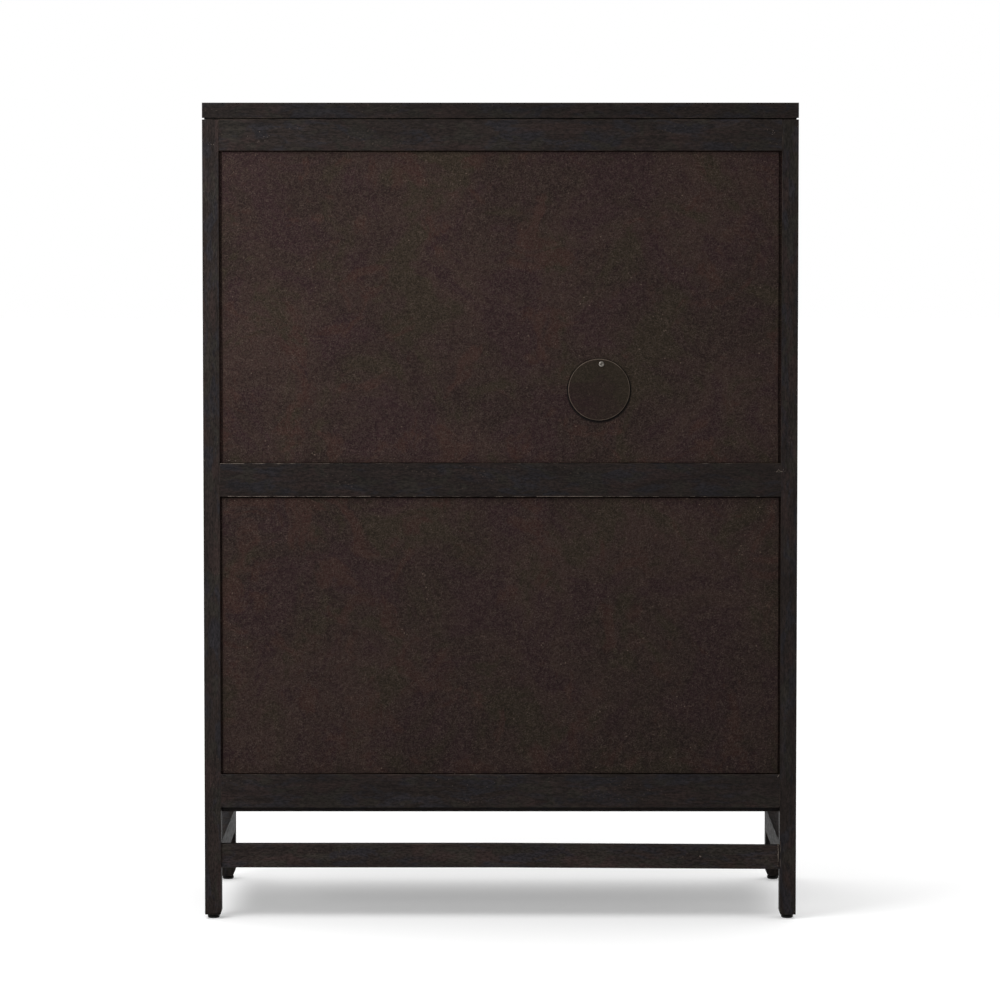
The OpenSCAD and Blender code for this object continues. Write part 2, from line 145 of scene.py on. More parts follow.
CAMERA_LENS = 185.26
CAMERA_DISTANCE = 8.78
CAMERA_HEIGHT = 1.332
CAMERA_TILT = 3.972
CAMERA_TURN = 180.0045


# ---- Shader tools ----


class Shader:
    """One node material. Inputs are set by name, to a value or to another node's output."""

    def __init__(self, name):
        self.material = bpy.data.materials.new(name)
        self.material.use_nodes = True
        self.tree = self.material.node_tree
        self.surface = self.tree.nodes["Principled BSDF"]

    def connect(self, target, value):
        if isinstance(value, bpy.types.NodeSocket):
            self.tree.links.new(value, target)
        else:
            target.default_value = value

    def add(self, kind, inputs=None, **settings):
        node = self.tree.nodes.new(f"ShaderNode{kind}")
        for key, value in settings.items():
            setattr(node, key, value)
        for key, value in (inputs or {}).items():
            self.connect(node.inputs[key], value)
        return node

    def finish(self, **inputs):
        """Sets the surface's inputs; underscores in the keys stand for spaces."""
        for key, value in inputs.items():
            self.connect(self.surface.inputs[key.replace("_", " ")], value)
        return self.material

    def grain(self):
        """The piece's own grain coordinates: X runs along the grain."""
        return self.add("Attribute", attribute_name="grain").outputs["Vector"]

    def place(self):
        return self.add("TexCoord").outputs["Object"]

    def arris(self):
        """1 on the arris faces, which get paler wear and a painted edge highlight, 0 on the faces.
        """
        return self.add("Attribute", attribute_name="arris").outputs["Fac"]

    def tone_and_painted_light(self):
        """How light this board is against the others, with painted shade and painted light on some
        boards.
        """
        return self.add("Attribute", attribute_name="tone_and_painted_light").outputs["Fac"]

    def scaled(self, vector, scale):
        return self.add("Mapping", {"Vector": vector, "Scale": scale}).outputs["Vector"]

    def noise(self, vector, scale=1.0, detail=2.0, rough=0.5, bend=0.0):
        inputs = {"Vector": vector, "Scale": scale, "Detail": detail, "Roughness": rough,
                  "Distortion": bend}
        return self.add("TexNoise", inputs).outputs["Fac"]

    def cells(self, vector, scale=1.0):
        return self.add("TexVoronoi", {"Vector": vector, "Scale": scale}).outputs["Distance"]

    def fit(self, value, low, high, to_low=0.0, to_high=1.0):
        """Maps low..high to to_low..to_high, held at both ends."""
        inputs = {"Value": value, "From Min": low, "From Max": high, "To Min": to_low,
                  "To Max": to_high}
        return self.add("MapRange", inputs).outputs["Result"]

    def calc(self, operation, a, b):
        return self.add("Math", {0: a, 1: b}, operation=operation).outputs[0]

    def shifted(self, vector, offset):
        return self.add("VectorMath", {0: vector, 1: offset}, operation="ADD").outputs[0]

    def mix(self, share, a, b, blend="MIX"):
        inputs = {0: share, 6: a, 7: b}
        return self.add("Mix", inputs, data_type="RGBA", blend_type=blend).outputs[2]

    def toned(self, tone, shade):
        """The colour made darker or lighter by a factor."""
        grey = self.add("CombineColor", {0: shade, 1: shade, 2: shade}).outputs[0]
        return self.mix(1.0, tone, grey, "MULTIPLY")

    def bump(self, height, distance, below=None):
        inputs = {"Height": height, "Distance": distance, "Strength": 1.0}
        if below is not None:
            inputs["Normal"] = below
        return self.add("Bump", inputs).outputs["Normal"]


def colour(red, green, blue):
    return (red, green, blue, 1.0)


# ---- Materials ----


def stained_wood(name, dark, light, cool, warm, olive, edge):
    """Stained open-grained wood: streaks and pores along the grain, patchy stain, and paler edges
    that are partly wear and partly a painted highlight.
    """
    s = Shader(name)
    grain = s.grain()
    streaks = s.noise(s.scaled(grain, (24.0, 210.0, 210.0)), detail=4, rough=0.7, bend=0.3)
    figure = s.noise(s.scaled(grain, (5.0, 38.0, 38.0)), detail=4, rough=0.6, bend=1.0)
    patches = s.noise(s.scaled(grain, (13.0, 38.0, 38.0)), detail=4, rough=0.65, bend=0.8)
    redder, greener = s.shifted(grain, (7.1, 3.3, 5.7)), s.shifted(grain, (2.7, 9.3, 1.1))
    tint = s.noise(s.scaled(redder, (9.0, 30.0, 30.0)), detail=4, bend=0.8)
    moss = s.noise(s.scaled(greener, (20.0, 38.0, 38.0)), detail=4, bend=0.8)
    dust = s.noise(s.scaled(grain, (130.0, 400.0, 400.0)), detail=3, rough=0.8)
    pores = s.noise(s.scaled(grain, (45.0, 900.0, 900.0)), detail=2)
    pore = s.fit(pores, 0.36, 0.46, 1.0, 0.0)
    tone = s.mix(s.fit(streaks, 0.3, 0.72), dark, light)
    tone = s.mix(s.fit(patches, 0.49, 0.58, 0.0, 0.9), tone, cool)
    tone = s.mix(s.fit(tint, 0.52, 0.61, 0.0, 0.8), tone, warm)
    tone = s.mix(s.fit(moss, 0.53, 0.61, 0.0, 0.8), tone, olive)
    shade = s.calc("MULTIPLY", s.fit(figure, 0.36, 0.64, 0.8, 1.2),
                   s.fit(dust, 0.4, 0.6, 0.55, 1.5))
    tone = s.toned(tone, s.calc("MULTIPLY", shade, s.tone_and_painted_light()))
    tone = s.mix(s.calc("MULTIPLY", pore, 0.4), tone, dark)
    nick = s.fit(s.cells(s.scaled(grain, (150.0, 190.0, 190.0))), 0.1, 0.24, 1.0, 0.0)
    rare = s.fit(s.noise(s.scaled(grain, (12.0, 34.0, 34.0)), detail=2), 0.57, 0.66)
    tone = s.mix(s.calc("MULTIPLY", nick, s.calc("MULTIPLY", rare, 0.5)), tone, edge)
    # Paler arris faces: partly wear, partly a painted highlight along the edges.
    edge_noise = s.noise(s.scaled(grain, (24.0, 60.0, 60.0)), detail=4, rough=0.7)
    rub_and_glint = s.fit(edge_noise, 0.44, 0.66, 0.0, 0.6)
    tone = s.mix(s.calc("MULTIPLY", s.arris(), rub_and_glint), tone, edge)
    rough = s.fit(streaks, 0.35, 0.65, 0.68, 0.5)
    height = s.calc("SUBTRACT", s.calc("MULTIPLY", streaks, 0.6), s.calc("MULTIPLY", pore, 0.5))
    normal = s.bump(s.noise(s.scaled(grain, (6.0, 18.0, 18.0)), detail=2), 0.0009)
    return s.finish(Base_Color=tone, Roughness=rough, Specular_IOR_Level=0.1,
                    Normal=s.bump(height, 0.0002, normal))


def fibre_strands(s, place, turn, seed):
    """Thin pale fibres that lie about one direction across the panel's XZ plane."""
    bent = s.add("VectorMath", {0: s.add("TexNoise", {"Vector": place, "Scale": 45.0}).outputs[1],
                                1: (0.012, 0.0, 0.012)}, operation="MULTIPLY").outputs[0]
    moved = s.shifted(s.shifted(place, (seed, seed * 0.3, seed * 1.7)), bent)
    turned_place = s.add("Mapping", {"Vector": moved, "Rotation": (0, turn, 0)}).outputs["Vector"]
    strands = s.noise(s.scaled(turned_place, (150.0, 300.0, 900.0)), detail=1, rough=0.4)
    return s.fit(strands, 0.6, 0.72)


def flecked(s, place, tone, fibre, strength):
    """The tone with fine grit and a few bright flecks of bare fibre on it."""
    grit = s.fit(s.cells(place, 330.0), 0.16, 0.4, 1.0, 0.0)
    some = s.fit(s.noise(s.shifted(place, (4.0, 0.0, 2.0)), 95.0, detail=3), 0.46, 0.6)
    tone = s.mix(s.calc("MULTIPLY", grit, s.calc("MULTIPLY", some, 0.36 * strength)), tone, fibre)
    fleck = s.fit(s.cells(place, 85.0), 0.06, 0.12, 1.0, 0.0)
    sparse = s.fit(s.noise(s.shifted(place, (0.0, 0.0, 9.0)), 20.0, detail=2), 0.56, 0.64)
    return s.mix(s.calc("MULTIPLY", fleck, s.calc("MULTIPLY", sparse, 0.9 * strength)), tone, fibre)


def shadow_ringed(s, place, tone, centre, radius):
    """The tone with a painted shadow, a dark ring around a circle."""
    reach = s.add("VectorMath", {0: place, 1: centre}, operation="DISTANCE").outputs["Value"]
    ring = s.calc("MULTIPLY", s.fit(reach, radius, radius + 2.6 * MM, 0.85, 0.0),
                  s.fit(reach, radius - 9 * MM, radius - 3 * MM))
    return s.mix(ring, tone, colour(0.001, 0.001, 0.001))


def hardboard(name, base, pale, purple, olive, rust, fibre, edge, strength=1.0,
              painted_shadow=None):
    """Stained fibreboard: blotches, a fine speckle, pale fibres, a few bright flecks and, if given,
    a painted shadow ring.
    """
    s = Shader(name)
    place = s.place()
    broad = s.noise(s.shifted(place, (1.9, 0.0, 4.2)), 4.2, detail=4, rough=0.6, bend=0.5)
    hue = s.noise(s.shifted(place, (8.3, 2.0, 6.1)), 8.0, detail=5, rough=0.65, bend=0.8)
    warmth = s.noise(s.shifted(place, (3.1, 5.0, 1.4)), 13.0, detail=4, rough=0.65, bend=0.8)
    cloud = s.noise(place, 38.0, detail=4, rough=0.65)
    speckle = s.noise(place, 330.0, detail=3, rough=0.8)
    tone = s.mix(s.fit(broad, 0.42, 0.6), base, pale)
    tone = s.mix(s.fit(hue, 0.51, 0.58, 0.0, 0.9), tone, purple)
    tone = s.mix(s.fit(hue, 0.47, 0.4, 0.0, 0.85), tone, olive)
    tone = s.mix(s.fit(warmth, 0.55, 0.62, 0.0, 0.75), tone, rust)
    clouded = s.fit(cloud, 0.36, 0.64, 1.0 - 0.12 * strength, 1.0 + 0.12 * strength)
    speckled = s.fit(speckle, 0.4, 0.6, 1.0 - 0.36 * strength, 1.0 + 0.38 * strength)
    shade = s.calc("MULTIPLY", clouded, speckled)
    tone = s.toned(tone, s.calc("MULTIPLY", shade, s.tone_and_painted_light()))
    strands = fibre_strands(s, place, 0.35, 0.0)
    for turn, seed in ((1.35, 2.3), (2.2, 5.1), (2.9, 8.7)):
        strands = s.calc("MAXIMUM", strands, fibre_strands(s, place, turn, seed))
    tone = s.mix(s.calc("MULTIPLY", strands, 0.22 * strength), tone, fibre)
    tone = flecked(s, place, tone, fibre, strength)
    # Painted shadow: a dark ring on the panel around the cable cover.
    if painted_shadow is not None:
        tone = shadow_ringed(s, place, tone, *painted_shadow)
    worn = s.fit(s.noise(place, 60.0, detail=4, rough=0.7), 0.3, 0.6, 0.25, 1.0)
    tone = s.mix(s.calc("MULTIPLY", s.arris(), worn), tone, edge)
    height = s.calc("ADD", s.calc("MULTIPLY", speckle, 0.6), s.calc("MULTIPLY", strands, 0.7))
    return s.finish(Base_Color=tone, Roughness=0.78, Specular_IOR_Level=0.12,
                    Normal=s.bump(height, 0.0003 * strength))


def plain_wood(name, dark, light):
    """Unstained softwood for the insides, with soft growth lines along the grain."""
    s = Shader(name)
    grain = s.grain()
    lines = s.noise(s.scaled(grain, (1.6, 85.0, 60.0)), detail=3, bend=0.7)
    fine = s.noise(s.scaled(grain, (14.0, 500.0, 500.0)), detail=3, rough=0.65)
    tone = s.mix(s.fit(lines, 0.35, 0.68), light, dark)
    tone = s.mix(s.fit(fine, 0.35, 0.75, 0.0, 0.35), tone, dark)
    knot = s.fit(s.cells(s.scaled(grain, (5.0, 9.0, 9.0))), 0.03, 0.11, 1.0, 0.0)
    tone = s.mix(s.calc("MULTIPLY", knot, 0.55), tone, colour(0.06, 0.03, 0.014))
    return s.finish(Base_Color=tone, Roughness=s.fit(lines, 0.3, 0.7, 0.62, 0.5),
                    Specular_IOR_Level=0.35, Normal=s.bump(fine, 0.00012))


def worn_metal(name, clean, dull, rough=0.38):
    """Metal with dull patches spread by noise and a finely scratched, uneven sheen."""
    s = Shader(name)
    place = s.place()
    patches = s.noise(place, 160.0, detail=4, rough=0.65)
    fine = s.noise(s.scaled(place, (1500.0, 400.0, 1500.0)), detail=3)
    tone = s.mix(s.fit(patches, 0.38, 0.64, 0.0, 0.75), clean, dull)
    sheen = s.fit(patches, 0.3, 0.7, rough - 0.08, rough + 0.2)
    return s.finish(Base_Color=tone, Metallic=1.0, Roughness=sheen,
                    Normal=s.bump(s.calc("ADD", fine, patches), 0.00006))


def moulded_plastic(name, tone, rough=0.5):
    s = Shader(name)
    place = s.place()
    dust = s.noise(place, 90.0, detail=4, rough=0.7)
    shade = s.mix(s.fit(dust, 0.4, 0.75, 0.0, 0.25), tone, colour(0.055, 0.05, 0.045))
    return s.finish(Base_Color=shade, Roughness=s.fit(dust, 0.3, 0.7, rough - 0.1, rough + 0.15),
                    Specular_IOR_Level=0.15,
                    Normal=s.bump(s.noise(place, 2200.0, detail=2), 0.00005))


def old_glass():
    s = Shader("old_glass")
    waves = s.noise(s.scaled(s.place(), (5.0, 5.0, 2.2)), detail=2)
    return s.finish(Base_Color=colour(0.86, 0.93, 0.9), Roughness=0.03, Transmission_Weight=1.0,
                    IOR=1.46, Normal=s.bump(waves, 0.0003))


def old_filler():
    """Crumbly pale filler, yellower and pinker in places."""
    s = Shader("old_filler")
    place = s.place()
    lumps = s.noise(place, 900.0, detail=3, rough=0.7)
    age = s.noise(place, 130.0, detail=3)
    tone = s.mix(s.fit(age, 0.35, 0.65), colour(0.23, 0.2, 0.165), colour(0.18, 0.135, 0.115))
    tone = s.mix(s.fit(lumps, 0.45, 0.65, 0.0, 0.85), tone, colour(0.06, 0.045, 0.037))
    return s.finish(Base_Color=tone, Roughness=0.9, Specular_IOR_Level=0.2,
                    Normal=s.bump(lumps, 0.0003))


def aged_card():
    s = Shader("aged_card")
    place = s.place()
    fibres = s.noise(s.scaled(place, (300.0, 300.0, 700.0)), detail=4, rough=0.7)
    age = s.noise(place, 34.0, detail=4)
    tone = s.mix(s.fit(age, 0.36, 0.7), colour(0.5, 0.4, 0.26), colour(0.27, 0.18, 0.095))
    return s.finish(Base_Color=tone, Roughness=0.85, Normal=s.bump(fibres, 0.0001))


# Middle and radius of the painted shadow around the cover, set a little low as if cast from above.
COVER_SHADOW = ((COVER_MIDDLE.x, PANEL_FACE_Y, COVER_MIDDLE.z - 1.8 * MM), COVER_RADIUS + 1.6 * MM)

# Its pale edge colour is partly wear and partly a painted edge highlight.
CASE_WOOD = stained_wood(
    "case_wood", dark=colour(0.0122, 0.009, 0.0079), light=colour(0.0223, 0.0158, 0.0139),
    cool=colour(0.0161, 0.0145, 0.0168), warm=colour(0.0234, 0.0148, 0.0131),
    olive=colour(0.0193, 0.0164, 0.0132), edge=colour(0.085, 0.064, 0.05))
HARDBOARD = hardboard(
    "back_hardboard", base=colour(0.0182, 0.0102, 0.0088), pale=colour(0.029, 0.0162, 0.0137),
    purple=colour(0.0215, 0.0102, 0.0112), olive=colour(0.0208, 0.0152, 0.0092),
    rust=colour(0.033, 0.0148, 0.0118), fibre=colour(0.15, 0.108, 0.084),
    edge=colour(0.05, 0.032, 0.025), painted_shadow=COVER_SHADOW)
# The cover's pale edge colour is partly wear and partly a painted highlight around its rim.
COVER_BOARD = hardboard(
    "cover_board", base=colour(0.0185, 0.0112, 0.0088), pale=colour(0.0225, 0.0138, 0.0108),
    purple=colour(0.0185, 0.0092, 0.0092), olive=colour(0.0195, 0.0145, 0.009),
    rust=colour(0.023, 0.0118, 0.0095), fibre=colour(0.13, 0.095, 0.07),
    edge=colour(0.15, 0.115, 0.088), strength=0.55)
DRAWER_WOOD = plain_wood(
    "drawer_wood", dark=colour(0.17, 0.085, 0.034), light=colour(0.33, 0.19, 0.09))
BRASS = worn_metal(
    "hardware_brass", clean=colour(0.33, 0.22, 0.1), dull=colour(0.07, 0.05, 0.032))
STEEL = worn_metal(
    "steel", clean=colour(0.27, 0.25, 0.225), dull=colour(0.12, 0.11, 0.095), rough=0.3)
GLIDE = moulded_plastic("glide_plastic", colour(0.0055, 0.005, 0.0046))
CATCH = moulded_plastic("catch_plastic", colour(0.03, 0.03, 0.031), rough=0.4)
GLASS = old_glass()
CARD = aged_card()
FILLER = old_filler()


# ---- Mesh tools ----


def solids(node):
    """Each solid of a CAD node as its own bmesh, with its flat faces whole again."""
    whole = bmesh.new()
    whole.from_mesh(NODES[node].data)
    bmesh.ops.remove_doubles(whole, verts=whole.verts, dist=WELD_GAP)
    whole.verts.ensure_lookup_table()
    seen = set()
    found = []
    for start in whole.verts:
        if start.index in seen:
            continue
        seen.add(start.index)
        group = [start]
        for vert in group:
            for edge in vert.link_edges:
                other = edge.other_vert(vert)
                if other.index not in seen:
                    seen.add(other.index)
                    group.append(other)
        found.append(copy_of(group))
    whole.free()
    return found


def copy_of(verts):
    """New bmesh with these vertices' faces, flat neighbours joined."""
    solid = bmesh.new()
    twin = {vert.index: solid.verts.new(vert.co) for vert in verts}
    done = set()
    for vert in verts:
        for face in vert.link_faces:
            if face.index not in done:
                done.add(face.index)
                solid.faces.new([twin[corner.index] for corner in face.verts])
    bmesh.ops.dissolve_limit(solid, angle_limit=math.radians(0.5), verts=solid.verts,
                             edges=solid.edges)
    bmesh.ops.recalc_face_normals(solid, faces=solid.faces)
    return solid


def size_of(solid):
    low, high = corners(solid)
    return high - low


def corners(solid):
    places = [vert.co for vert in solid.verts]
    return (Vector(map(min, *places)), Vector(map(max, *places)))


def ease(solid, width, shortest=8 * MM):
    """Rounds the outer edges longer than shortest, and marks the new faces as arris, for paler wear
    and painted edge highlight.
    """
    arris = solid.faces.layers.float.new("arris")
    sharp = [edge for edge in solid.edges
             if edge.is_manifold and edge.calc_length() > shortest
             and edge.calc_face_angle_signed(0) > math.radians(25)]
    made = bmesh.ops.bevel(solid, geom=sharp, offset=width, offset_type="OFFSET",
                           segments=2, profile=0.5, affect="EDGES", clamp_overlap=False)
    for face in made["faces"]:
        face[arris] = 1.0
    return solid


def lay_grain(solid, seed, axis=None, tone=1.0):
    """Stores grain coordinates, X along the given axis or the longest side, and the tone."""
    layer = solid.verts.layers.float_vector.new("grain")
    tone_and_painted_light = solid.verts.layers.float.new("tone_and_painted_light")
    size = size_of(solid)
    if axis is None:
        axis = max(range(3), key=lambda i: size[i])
    draw = random.Random(seed)
    shift = Vector((draw.uniform(0, 40), draw.uniform(0, 3), draw.uniform(0, 3)))
    tilt = draw.uniform(-0.01, 0.01)
    tone *= draw.uniform(0.94, 1.06)
    for vert in solid.verts:
        along, across, deep = (vert.co[(axis + i) % 3] for i in range(3))
        vert[layer] = Vector((along, across + tilt * along, deep)) + shift
        vert[tone_and_painted_light] = tone
    return solid


def join(parts):
    """One bmesh from several, with their grain and arris kept."""
    whole = bmesh.new()
    for part in parts:
        mesh = bpy.data.meshes.new("part")
        part.to_mesh(mesh)
        part.free()
        whole.from_mesh(mesh)
        bpy.data.meshes.remove(mesh)
    return whole


def piece(name, solid, material, body, smooth=True):
    """Turns a bmesh into a shown piece that rides on a CAD body."""
    mesh = bpy.data.meshes.new(name)
    solid.to_mesh(mesh)
    solid.free()
    mesh.materials.append(material)
    mesh.polygons.foreach_set("use_smooth", [smooth] * len(mesh.polygons))
    made = bpy.data.objects.new(name, mesh)
    bpy.context.scene.collection.objects.link(made)
    if smooth:
        weigh = made.modifiers.new("flat_faces", "WEIGHTED_NORMAL")
        weigh.keep_sharp = True
        weigh.weight = 100
    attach(made, body)
    return made


def boards(node, width=BOARD_EDGE, axis=None, tone=1.0, shortest=8 * MM):
    """The node's solids with eased edges and grain, ready to join."""
    made = []
    for number, solid in enumerate(solids(node)):
        made.append(lay_grain(ease(solid, width, shortest), f"{node} {number}", axis, tone))
    return made


def bend(solid, droop):
    """Lowers the board's -X half, the more the farther from the middle."""
    everything = list(solid.verts) + list(solid.edges) + list(solid.faces)
    bmesh.ops.bisect_plane(solid, geom=everything, plane_co=(0, 0, 0), plane_no=(1, 0, 0))
    reach = corners(solid)[1].x
    for vert in solid.verts:
        vert.co.z -= droop * max(0.0, -vert.co.x) / reach


def wood_piece(node, material=CASE_WOOD, axis=None, tone=1.0, droop=0.0):
    """A CAD node's boards, with eased edges and grain. Droop is how far the -X end hangs lower."""
    solid = join(boards(node, axis=axis, tone=tone))
    if droop:
        bend(solid, droop)
    made = piece(f"{node}_wood", solid, material, BODY_OF[node])
    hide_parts(node)


def drawer_box(node):
    """A drawer with a stained front and a pine box behind it."""
    front, box = [], []
    for number, solid in enumerate(solids(node)):
        target = front if corners(solid)[0].y < FRONT_Y + MM else box
        target.append(lay_grain(ease(solid, BOARD_EDGE), f"{node} {number}"))
    shown = piece(f"{node}_front", join(front), CASE_WOOD, BODY_OF[node])
    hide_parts(node)
    piece(f"{node}_box", join(box), DRAWER_WOOD, BODY_OF[node])


def card_piece(drawer):
    """Blank card in the drawer's label holder."""
    holder = [solid for solid in solids(f"{drawer}_pull") if size_of(solid).x > HOLDER_WIDTH][0]
    low, high = corners(holder)
    holder.free()
    margin = Vector((CARD_MARGIN, 0, CARD_MARGIN))
    low, high = low + margin, high - margin
    low.y = high.y - CARD_THICK
    sheet = slab_grid(low, high, [low.x, high.x], [low.z, high.z])
    piece(f"{drawer}_card", sheet, CARD, BODY_OF[drawer], smooth=False)


def bored(solid, middle, radius):
    """The solid with a round hole along Y, cut by a boolean."""
    rim = [(0, -BORE_REACH), (radius, -BORE_REACH), (radius, BORE_REACH), (0, BORE_REACH)]
    tool = placed(turned(rim, 64), middle, "+y")
    made = []
    for shape in (solid, tool):
        mesh = bpy.data.meshes.new("shape")
        shape.to_mesh(mesh)
        shape.free()
        made.append(bpy.data.objects.new("shape", mesh))
        bpy.context.scene.collection.objects.link(made[-1])
    cut = made[0].modifiers.new("bore", "BOOLEAN")
    cut.object = made[1]
    cut.operation = "DIFFERENCE"
    bpy.context.view_layer.update()
    result = bmesh.new()
    result.from_object(made[0], bpy.context.evaluated_depsgraph_get())
    for item in made:
        mesh = item.data
        bpy.data.objects.remove(item)
        bpy.data.meshes.remove(mesh)
    return result


def back_panel(node, rail_below, rail_above, side_gap, foot_gap, foot_shade=0.0, hole=None):
    """A back panel whose sawn face edges leave a thin, uneven gap beside the legs and rails.

    The gaps are at its sides and foot. Painted shade darkens it towards the foot by the given
    share, and hole is the middle and radius of a round hole.
    """
    low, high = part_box(node)
    sheet_high = Vector((high.x, high.y - PANEL_SINK, high.z))
    sheet = slab_grid(low, sheet_high, [low.x, high.x], [low.z, high.z])
    half = INNER_X - side_gap
    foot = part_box(rail_below)[1].z + foot_gap
    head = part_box(rail_above)[0].z - PANEL_HEAD_GAP
    face_low = Vector((-half, high.y - PANEL_SINK, foot))
    face_high = Vector((half, high.y, head))
    xs = steps_between(-half, half, PANEL_CELL)
    zs = steps_between(foot, head, PANEL_CELL)
    field = slab_grid(face_low, face_high, xs, zs)
    wander(field, face_low, face_high, PANEL_SWAY, node)
    ease(field, PANEL_EDGE, shortest=2 * MM)
    if hole is not None:
        sheet, field = bored(sheet, *hole), bored(field, *hole)
    whole = join([lay_grain(sheet, node), lay_grain(field, node)])
    tone_and_painted_light = whole.verts.layers.float["tone_and_painted_light"]
    # Painted shade towards the foot, and painted light towards +X.
    for vert in whole.verts:
        vert[tone_and_painted_light] *= 1.0 - foot_shade * (high.z - vert.co.z) / (high.z - low.z)
        vert[tone_and_painted_light] *= 1.0 + PANEL_SIDE_LIGHT * vert.co.x / high.x
    made = piece(f"{node}_board", whole, HARDBOARD, BODY_OF[node])
    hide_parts(node)


def steps_between(low, high, step):
    count = max(1, round((high - low) / step))
    return [low + (high - low) * i / count for i in range(count + 1)]


def slab_grid(low, high, xs, zs):
    """Closed slab whose front and back are cut into cells at the given X and Z places."""
    solid = bmesh.new()
    levels = []
    for y in (low.y, high.y):
        levels.append([[solid.verts.new((x, y, z)) for z in zs] for x in xs])
    front, back = levels
    for i in range(len(xs) - 1):
        for j in range(len(zs) - 1):
            for level in levels:
                near, far = level[i], level[i + 1]
                solid.faces.new((near[j], far[j], far[j + 1], near[j + 1]))
    ring = [(i, 0) for i in range(len(xs))]
    ring += [(len(xs) - 1, j) for j in range(1, len(zs))]
    ring += [(i, len(zs) - 1) for i in range(len(xs) - 2, -1, -1)]
    ring += [(0, j) for j in range(len(zs) - 2, 0, -1)]
    for (i, j), (k, m) in zip(ring, ring[1:] + ring[:1]):
        solid.faces.new((front[i][j], front[k][m], back[k][m], back[i][j]))
    bmesh.ops.recalc_face_normals(solid, faces=solid.faces)
    return solid


def wander(solid, low, high, reach, seed):
    """Moves the slab's edge points in or out a little, so the sawn edge isn't quite straight."""
    draw = random.Random(seed)
    shift = Vector((draw.uniform(0, 50), 0, draw.uniform(0, 50)))
    for vert in solid.verts:
        sway = noise.noise(Vector((vert.co.x * 9, 0, vert.co.z * 9)) + shift) * reach
        if abs(vert.co.x - low.x) < ON_EDGE or abs(vert.co.x - high.x) < ON_EDGE:
            vert.co.x += sway
        if abs(vert.co.z - high.z) < ON_EDGE:
            vert.co.z += 0.6 * sway
        if abs(vert.co.z - low.z) < ON_EDGE:
            vert.co.z += 0.5 * (sway + reach)


def crust_ring(middle, across, face_y, thick):
    """Cross-section of a crust: its foot is sunk in the face, its crest stands just above."""
    ring = []
    sunk = -CRUST_DEPTH
    for side, out in ((-0.5, sunk), (-0.3, 0.28 * thick), (0.2, 0.34 * thick), (0.5, sunk)):
        place = middle + side * thick * across
        ring.append(Vector((place.x, face_y + out, place.z)))
    return ring


def crust_runs(start, end, face_y, width, cover, seed):
    """Cross-sections along a line from start to end, broken where no crust is left."""
    draw = random.Random(seed)
    shift = Vector((draw.uniform(0, 60), draw.uniform(0, 60), 0.0))
    run = end - start
    across = Vector((-run.z, 0, run.x)).normalized()
    count = max(5, round(run.length / CRUST_STEP))
    runs = [[]]
    for i in range(count + 1):
        far = run.length * i / count
        broad = noise.noise(shift + Vector((70 * far, 0, 0)))
        fine = noise.noise(shift + Vector((420 * far, 9, 0)))
        thick = width * min(1.2, 1.6 * broad + 0.5 * fine + 2.4 * cover - 1.0)
        if thick < CRUST_LEAST * width:
            runs.append([])
            continue
        middle = start + run * i / count + across * (0.4 * width * fine)
        runs[-1].append(crust_ring(middle, across, face_y, thick))
    return [rings for rings in runs if len(rings) > 1]


def crust(start, end, face_y, width, cover, seed):
    """Broken line of old filler on a face that looks to +Y; cover is the share still there."""
    solid = bmesh.new()
    for rings in crust_runs(start, end, face_y, width, cover, seed):
        made = [[solid.verts.new(place) for place in ring] for ring in rings]
        for low, high in zip(made, made[1:]):
            for i in range(4):
                j = (i + 1) % 4
                solid.faces.new((low[i], low[j], high[j], high[i]))
        solid.faces.new(made[0])
        solid.faces.new(made[-1])
    bmesh.ops.recalc_face_normals(solid, faces=solid.faces)
    return solid


def turned(profile, segments=48):
    """bmesh turned about +Z from (radius, height) points; a zero radius closes an end."""
    solid = bmesh.new()
    rings = []
    for radius, height in profile:
        if radius == 0:
            rings.append([solid.verts.new((0, 0, height))])
            continue
        steps = [2 * math.pi * i / segments for i in range(segments)]
        rings.append([solid.verts.new((radius * math.cos(a), radius * math.sin(a), height))
                      for a in steps])
    for low, high in zip(rings, rings[1:]):
        for i in range(segments):
            j = (i + 1) % segments
            quad = (low[i % len(low)], low[j % len(low)], high[j % len(high)], high[i % len(high)])
            solid.faces.new(list(dict.fromkeys(quad)))
    return solid


def placed(solid, at, facing):
    """Turns a +Z shape to face -Y or +Y, and moves it into place."""
    for vert in solid.verts:
        x, y, z = vert.co
        vert.co = Vector((x, -z, y) if facing == "-y" else (x, z, -y)) + Vector(at)
    bmesh.ops.recalc_face_normals(solid, faces=solid.faces)
    return solid


def cross_head(radius, height, segments=32):
    """Round screw head with a cross recess, its foot at z = 0."""
    solid = turned([(part * radius, level * height) for part, level in SCREW_HEAD], segments)
    for vert in solid.verts:
        reach = math.hypot(vert.co.x, vert.co.y) / radius
        side = min(abs(vert.co.x), abs(vert.co.y)) / radius
        if reach < RECESS_REACH and side < RECESS_HALF:
            vert.co.z -= RECESS_DEPTH * height
    return solid


def pull_piece(node):
    """Knob with a smooth turned profile, and the label holder if there is one, screwed on."""
    parts = []
    for solid in solids(node):
        low, high = corners(solid)
        middle = 0.5 * (low + high)
        if high.x - low.x > HOLDER_WIDTH:
            parts.append(ease(solid, 0.4 * MM, shortest=4 * MM))
            for x in (low.x + HOLDER_SCREW_INSET, high.x - HOLDER_SCREW_INSET):
                head = cross_head(*HOLDER_SCREW, segments=20)
                parts.append(placed(head, (x, low.y, middle.z), "-y"))
            continue
        solid.free()
        knob = turned([(radius * MM, height * MM) for radius, height in KNOB])
        parts.append(placed(knob, (middle.x, FRONT_Y, middle.z), "-y"))
    made = piece(f"{node}_turned", join(parts), BRASS, BODY_OF[node])
    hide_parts(node)


